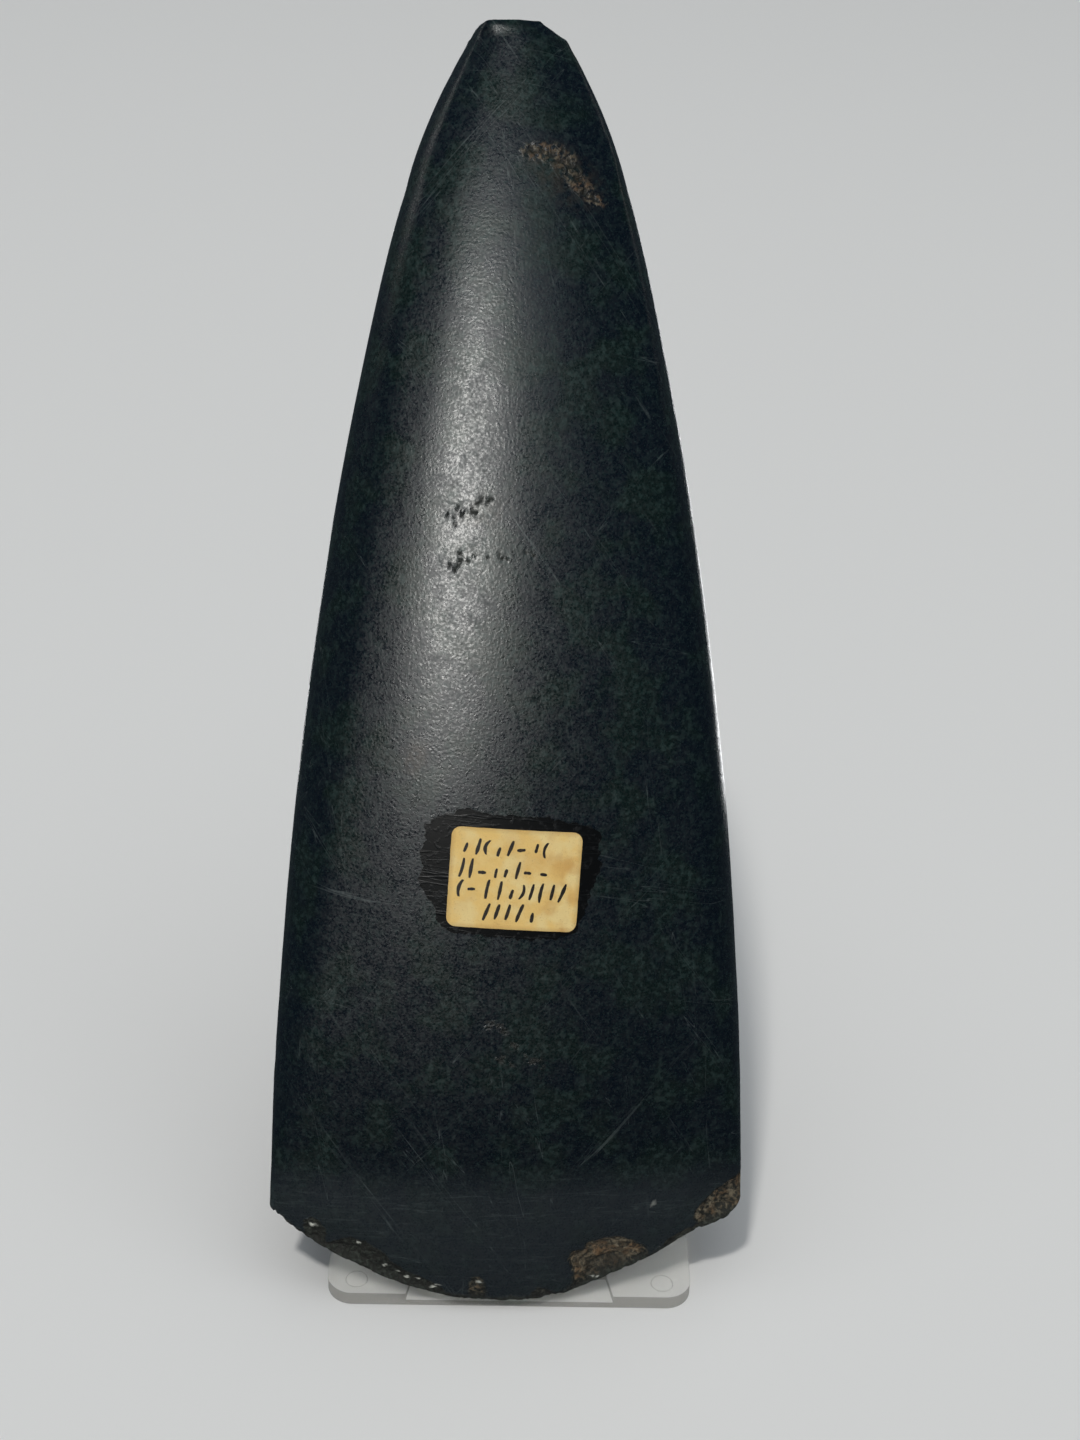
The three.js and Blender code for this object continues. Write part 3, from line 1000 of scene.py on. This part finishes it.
def makeInk(surface, material):
    # Rows of slanted and bowed pen strokes, with no letters in them
    look = inkLook
    rng = random.Random(look["seed"])
    sheet = bmesh.new()
    top = labelLook["under"] + labelLook["thickness"]
    for left, right, height in look["rows"]:
        place = left + 0.5
        while place < right:
            kind = rng.choice(look["kinds"])
            tall = look["tall"] * look["lengths"][kind] * rng.uniform(0.85, 1.08)
            slant = math.radians(rng.uniform(6, 20) if kind != "dash" else rng.uniform(70, 96))
            if kind == "bow":
                bow = rng.uniform(0.12, 0.2) * rng.choice([-1, 1])
            else:
                bow = rng.uniform(-0.04, 0.04)
            middle = height
            middle += rng.uniform(-0.7, 0.4) if kind in ("low", "dash") else rng.uniform(-0.15, 0.15)
            made = bmesh.ops.create_grid(sheet, x_segments=2, y_segments=8, size=0.5)["verts"]
            for vert in made:
                along, over = vert.co.y, vert.co.x
                uneven = 0.85 + 0.3 * noise.noise(Vector((place, along * 3, height)))
                thick = look["wide"] * (1 - 0.45 * abs(2 * along) ** 3) * uneven
                dx = over * thick + bow * tall * (1 - 4 * along * along)
                dz = along * tall
                u = place + dx * math.cos(slant) + dz * math.sin(slant)
                w = middle + dz * math.cos(slant) - dx * math.sin(slant)
                hit, out = surface(*onLabel(u, w))
                vert.co = hit + out * (top + look["film"])
            place += look["spacing"] * rng.uniform(0.85, 1.15) * (1.3 if kind == "dash" else 1)
    bmesh.ops.recalc_face_normals(sheet, faces=sheet.faces)
    for face in sheet.faces:
        if face.normal.y > 0:
            face.normal_flip()
    bmesh.ops.solidify(sheet, geom=list(sheet.faces), thickness=look["thickness"])
    return newPiece("pen_strokes", sheet, material, 60)


def lacquerMaterial():
    material, tree, shader = newMaterial("blackLacquer")
    look = lacquerLook
    where = stoneCoordinates(tree)
    brushed = hairlines(tree, where, *look["brushed"])
    worn = mottled(tree, where, *look["wear"])
    shade = plus(tree, times(tree, worn, 0.5), times(tree, brushed, 0.2))
    colour = mixColour(tree, shade, look["colour"], look["worn"])
    rough = ranged(tree, worn, look["roughness"], look["wornRoughness"])
    finishShader(tree, shader, look, colour, rough, plus(tree, brushed, worn))
    return material


def paperMaterial():
    material, tree, shader = newMaterial("agedPaper")
    look = labelLook
    where = stoneCoordinates(tree)
    centre = onLabel(0, 0)
    local = addNode(tree, "ShaderNodeMapping", {"Vector": where}, vector_type="TEXTURE")
    local.inputs["Location"].default_value = (centre[0] * mm, 0, centre[1] * mm)
    local.inputs["Rotation"].default_value = (0, math.radians(look["tiltDegrees"]), 0)
    parts = addNode(tree, "ShaderNodeSeparateXYZ", {"Vector": local.outputs[0]}).outputs
    across = maths(tree, "SUBTRACT", maths(tree, "ABSOLUTE", parts["X"]), look["width"] / 2 * mm)
    upward = maths(tree, "SUBTRACT", maths(tree, "ABSOLUTE", parts["Z"]), look["height"] / 2 * mm)
    rightSide = between(tree, parts["X"], *look["foxedSide"])
    layers = (
        (times(tree, mottled(tree, where, *look["foxSpots"]), plus(tree, rightSide, 0.45)), 0.55, "foxing"),
        (between(tree, maths(tree, "MAXIMUM", across, upward), *look["rimBand"]), 0.4, "rim"),
        (mottled(tree, where, *look["flecks"]), 0.35, "rim"),
    )
    colour = mixColour(tree, mottled(tree, where, *look["paleClouds"]), look["paper"], look["pale"])
    for mask, share, shade in layers:
        colour = mixColour(tree, times(tree, mask, share), colour, look[shade])
    fibre = mottled(tree, where, *look["fibres"])
    rough = ranged(tree, fibre, look["roughness"], look["fibreRoughness"])
    finishShader(tree, shader, look, colour, rough, fibre)
    return material


def inkMaterial():
    material, tree, shader = newMaterial("brownInk")
    look = inkLook
    faded = mottled(tree, stoneCoordinates(tree), *look["fading"])
    colour = mixColour(tree, times(tree, faded, 0.5), look["colour"], look["faded"])
    rough = ranged(tree, faded, *look["roughness"])
    fill(tree, shader, {"Base Color": colour, "Roughness": rough, "Specular IOR Level": look["specular"]})
    return material


# Clear stand
standLook = {
    "bevel": 0.35,
    "clear": (0.98, 0.985, 0.95),
    # painted shade: the cut edges of the clear plastic are tinted a dark taupe, as refraction and shade
    # make them look
    "shadedCutEdge": (0.12, 0.095, 0.055),
    "alpha": 0.42,
    "refraction": 1.49,
    "specular": 0.5,
    "roughness": 0.03,
    "haze": (500, 5, 0.45, 0.75), # mottle
    "scratches": (50, 700, 40, 0.01, 0.55), # hairlines
    "relief": 0.00001,
    "rings": [(-30.0, -41.3), (30.0, -41.3)],
    "ringRadius": 2.1,
    "ringWire": 0.11,
    "top": 3.0,
}


def addRing(bm, cx, cy):
    # A faint round mark that the mould left on the foot
    look = standLook
    wire = bmesh.ops.create_circle(bm, cap_ends=False, radius=look["ringWire"], segments=8)["verts"]
    upright = Matrix.Rotation(math.pi / 2, 4, "X")
    lift = Matrix.Translation((cx + look["ringRadius"], cy, look["top"])) @ upright
    bmesh.ops.transform(bm, matrix=lift, verts=wire)
    bmesh.ops.spin(
        bm,
        geom=wire + list({e for v in wire for e in v.link_edges}),
        cent=(cx, cy, look["top"]),
        axis=(0, 0, 1),
        angle=2 * math.pi,
        steps=40,
        use_merge=True,
    )


def makeStand(material):
    look = standLook
    bm = solidCopy("display_stand", Matrix.Scale(1 / mm, 4))
    bmesh.ops.dissolve_limit(bm, angle_limit=math.radians(1), verts=bm.verts, edges=bm.edges)
    sharp = [e for e in bm.edges if len(e.link_faces) == 2 and e.calc_face_angle() > math.radians(32)]
    bmesh.ops.bevel(
        bm,
        geom=sharp,
        offset=look["bevel"],
        offset_type="OFFSET",
        affect="EDGES",
        segments=3,
        profile=0.5,
        material=-1,
        clamp_overlap=True,
    )
    for cx, cy in look["rings"]:
        addRing(bm, cx, cy)
    bmesh.ops.remove_doubles(bm, verts=bm.verts, dist=0.001)
    bmesh.ops.recalc_face_normals(bm, faces=bm.faces)
    bmesh.ops.transform(bm, matrix=Matrix.Scale(mm, 4), verts=bm.verts)
    piece = newPiece("clear_display_stand", bm, material, 35, toWorld=False)

    # the faces that get the painted shade: the foot's edges and the sides of the rest
    def isCut(face):
        return abs(face.normal.z) < 0.4 and (face.center.z < look["top"] * mm or abs(face.normal.x) > 0.8)

    cut = [float(isCut(face)) for face in piece.data.polygons]
    piece.data.attributes.new("shadedCutEdge", "FLOAT", "FACE").data.foreach_set("value", cut)
    piece.visible_shadow = False # light passes through the clear plastic
    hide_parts("display_stand")
    return piece


def plasticMaterial():
    material, tree, shader = newMaterial("clearPlastic")
    look = standLook
    where = addNode(tree, "ShaderNodeTexCoord").outputs["Object"]
    haze = mottled(tree, where, *look["haze"])
    lines = hairlines(tree, where, *look["scratches"])
    # painted shade on the cut edges
    colour = mixColour(tree, attribute(tree, "shadedCutEdge"), look["clear"], look["shadedCutEdge"])
    shader.inputs["Metallic"].default_value = 0
    shader.inputs["IOR"].default_value = look["refraction"]
    shader.inputs["Transmission Weight"].default_value = 1
    shader.inputs["Alpha"].default_value = look["alpha"]
    rough = plus(tree, times(tree, haze, 0.05), times(tree, lines, 0.2))
    finishShader(tree, shader, look, colour, plus(tree, rough, look["roughness"]), lines)
    return material


# Floor and light
stageLook = {
    "floorColour": (0.80, 0.80, 0.79),
    "floorHalf": 4.0,
    "floorGap": 0.0001,
    "floorRoughness": 0.9,
    "floorSpecular": 0.1,
    "roomLight": (0.046, 0.059, 0.070),
    "backdrop": (0.52, 0.53, 0.54),
}

# What the cards on both sides have in common
sideCard = {
    "at": (0, 0, 0.1),
    "size": (0.5, 0.9),
    "colour": (1.0, 0.98, 0.95),
    "hiddenFrom": "diffuse",
}

# Where each light's middle is, what it points at, its width and height, power in watts and colour
lights = {
    "keyLight": {
        "from": (-1.56, -3.49, 8.02),
        "at": (0, 0, 0.1),
        "size": (0.6, 0.6),
        "power": 290,
        "colour": (1.0, 0.975, 0.94),
        "hiddenFrom": "glossy",
    },
    "fillLight": {
        "from": (0.2, -0.3, 3.6),
        "at": (0, 0, 0.1),
        "size": (4.0, 4.0),
        "power": 72,
        "colour": (0.96, 0.98, 1.0),
        "hiddenFrom": "glossy",
    },
    "frontStrip": {
        "from": (-0.30, -1.05, 0.66),
        "at": (-0.015, -0.009, 0.13),
        "size": (0.34, 0.38),
        "power": 17,
        "colour": (1.0, 0.985, 0.94),
        "hiddenFrom": "diffuse",
    },
    "highCard": {
        "from": (-0.12, -1.02, 1.02),
        "at": (0, 0, 0.17),
        "size": (1.3, 0.4),
        "power": 3.0,
        "colour": (0.84, 0.97, 1.0),
        "hiddenFrom": "diffuse",
    },
    "leftCard": {**sideCard, "from": (-1.5, 0.75, 0.85), "power": 2.2},
    "rightCard": {**sideCard, "from": (1.5, 0.75, 0.85), "power": 1.2},
    "lowBackCard": {
        "from": (0.03, 0.42, 0.004),
        "at": (0.03, 0.42, 1),
        "size": (0.24, 0.56),
        "power": 2.0,
        "colour": (0.97, 0.99, 1.0),
        "hiddenFrom": "diffuse",
    },
}


def addFloor():
    bm = bmesh.new()
    bmesh.ops.create_grid(bm, x_segments=2, y_segments=2, size=stageLook["floorHalf"])
    mesh = bpy.data.meshes.new("paleFloor")
    bm.to_mesh(mesh)
    bm.free()
    mesh.transform(Matrix.Translation((0, 0, -stageLook["floorGap"])))
    floor = newObject("paleFloor", mesh)
    material, tree, shader = newMaterial("palePaper")
    shader.inputs["Base Color"].default_value = (*stageLook["floorColour"], 1)
    shader.inputs["Roughness"].default_value = stageLook["floorRoughness"]
    shader.inputs["Specular IOR Level"].default_value = stageLook["floorSpecular"]
    mesh.materials.append(material)
    floor.visible_glossy = False # the polished stone stays dark where it faces down


def addLights():
    for name, look in lights.items():
        light = bpy.data.lights.new(name, "AREA")
        light.shape = "RECTANGLE"
        light.size, light.size_y = look["size"]
        light.energy = look["power"]
        light.color = look["colour"]
        placed = newObject(name, light)
        placed.visible_diffuse = look["hiddenFrom"] != "diffuse"
        placed.visible_glossy = look["hiddenFrom"] != "glossy"
        placed.visible_camera = False
        placed.visible_transmission = False
        travel = Vector(look["at"]) - Vector(look["from"])
        turned = travel.to_track_quat("-Z", "Y").to_matrix().to_4x4()
        placed.matrix_world = Matrix.Translation(look["from"]) @ turned


def addWorld():
    world = bpy.data.worlds.new("softRoom")
    world.use_nodes = True
    tree = world.node_tree
    seen = addNode(tree, "ShaderNodeLightPath").outputs["Is Camera Ray"]
    shade = mixColour(tree, seen, stageLook["roomLight"], stageLook["backdrop"])
    tree.links.new(shade, tree.nodes["Background"].inputs["Color"])
    bpy.context.scene.world = world
    bpy.context.scene.view_settings.view_transform = "Standard"


addCamera()
addFloor()
addLights()
addWorld()
print("camera, floor and lights set")
stone = makeStone(stoneMaterial())
print("stone made,", len(stone.data.polygons), "faces")
surface = stoneSurface(stone)
makeLacquer(surface, lacquerMaterial())
makeLabel(surface, paperMaterial())
makeInk(surface, inkMaterial())
print("label made")
makeStand(plasticMaterial())
print("stand made")
